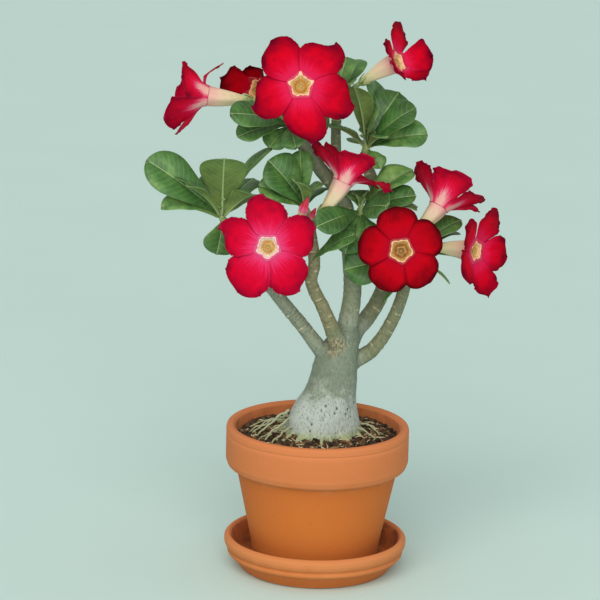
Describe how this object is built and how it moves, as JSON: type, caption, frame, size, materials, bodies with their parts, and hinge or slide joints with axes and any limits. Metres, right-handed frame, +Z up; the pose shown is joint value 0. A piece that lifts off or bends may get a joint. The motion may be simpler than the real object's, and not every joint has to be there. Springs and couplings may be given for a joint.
{
  "type": "potted desert rose adenium",
  "caption": "Desert rose plant with a swollen trunk, bare branches, tufts of leaves and red star-shaped flowers, in a terracotta pot filled with soil on a matching saucer.",
  "frame": {"origin": "centre of the saucer's flat underside, on the surface that it stands on", "axes": "+Z up along the pot's axis, -Y towards the front and +X to the right as seen from the front"},
  "size_m": [0.2762, 0.14, 0.4238],
  "materials": {
    "saucer_clay": "matte",
    "pot_clay": "matte",
    "soil": "rough",
    "bark": "matte",
    "leaf": "satin",
    "petal": "matte",
    "flower_tube": "matte"
  },
  "bodies": {
    "root": {"saucer": "saucer_clay", "pot": "pot_clay", "soil": "soil", "trunk": "bark", "leaves_left": "leaf", "leaves_mid": "leaf", "leaves_top": "leaf", "leaves_back": "leaf", "leaves_high": "leaf", "leaves_heart": "leaf", "leaves_right": "leaf", "leaf_front": "leaf", "leaf_low": "leaf", "bloom_1_petals": "petal", "bloom_1_tube": "flower_tube", "bloom_2_petals": "petal", "bloom_2_tube": "flower_tube", "bloom_3_petals": "petal", "bloom_3_tube": "flower_tube", "bloom_4_petals": "petal", "bloom_4_tube": "flower_tube", "bloom_5_petals": "petal", "bloom_5_tube": "flower_tube", "bloom_6_petals": "petal", "bloom_6_tube": "flower_tube", "bloom_7_petals": "petal", "bloom_7_tube": "flower_tube", "bloom_8_petals": "petal", "bloom_8_tube": "flower_tube", "bloom_9_petals": "petal", "bloom_9_tube": "flower_tube", "bud_1": "petal", "bud_2": "petal"}
  },
  "joints": []
}
